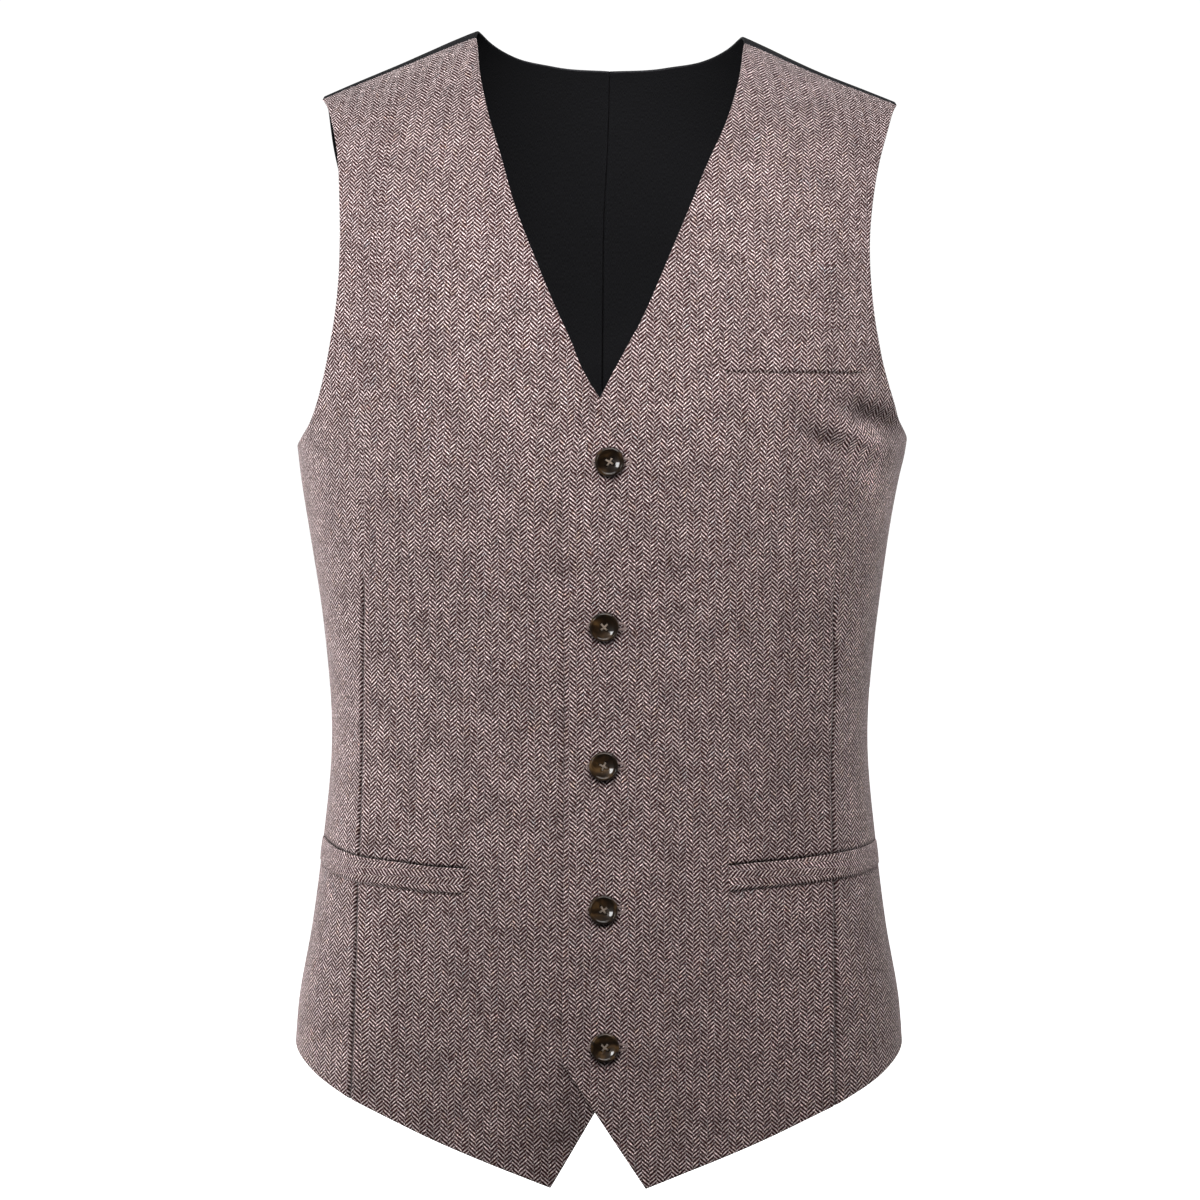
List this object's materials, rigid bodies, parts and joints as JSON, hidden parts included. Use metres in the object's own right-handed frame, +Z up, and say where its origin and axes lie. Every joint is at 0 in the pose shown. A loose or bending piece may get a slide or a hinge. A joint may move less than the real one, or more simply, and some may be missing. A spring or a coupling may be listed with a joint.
{
  "type": "suit waistcoat",
  "caption": "Single-breasted suit waistcoat in brown herringbone tweed with a satin back, V neck, pointed hem, breast welt and waist welt pockets, hollow as worn.",
  "frame": {"origin": "midway between the two shoulder seams, at the height where the wearer's shoulders carry the garment", "axes": "+Z up the wearer, -Y out of the front, +X to the wearer's left"},
  "size_m": [0.3364, 0.2447, 0.6285],
  "materials": {
    "tweed": "brown and pale herringbone wool, matt",
    "satin": "black satin, soft sheen",
    "horn": "polished dark horn"
  },
  "bodies": {
    "root": {"front_left": "tweed", "front_right": "tweed", "back_left": "satin", "back_right": "satin", "welt_breast": "tweed", "welt_left": "tweed", "welt_right": "tweed", "button_1": "horn", "button_2": "horn", "button_3": "horn", "button_4": "horn", "button_5": "horn"}
  },
  "joints": []
}
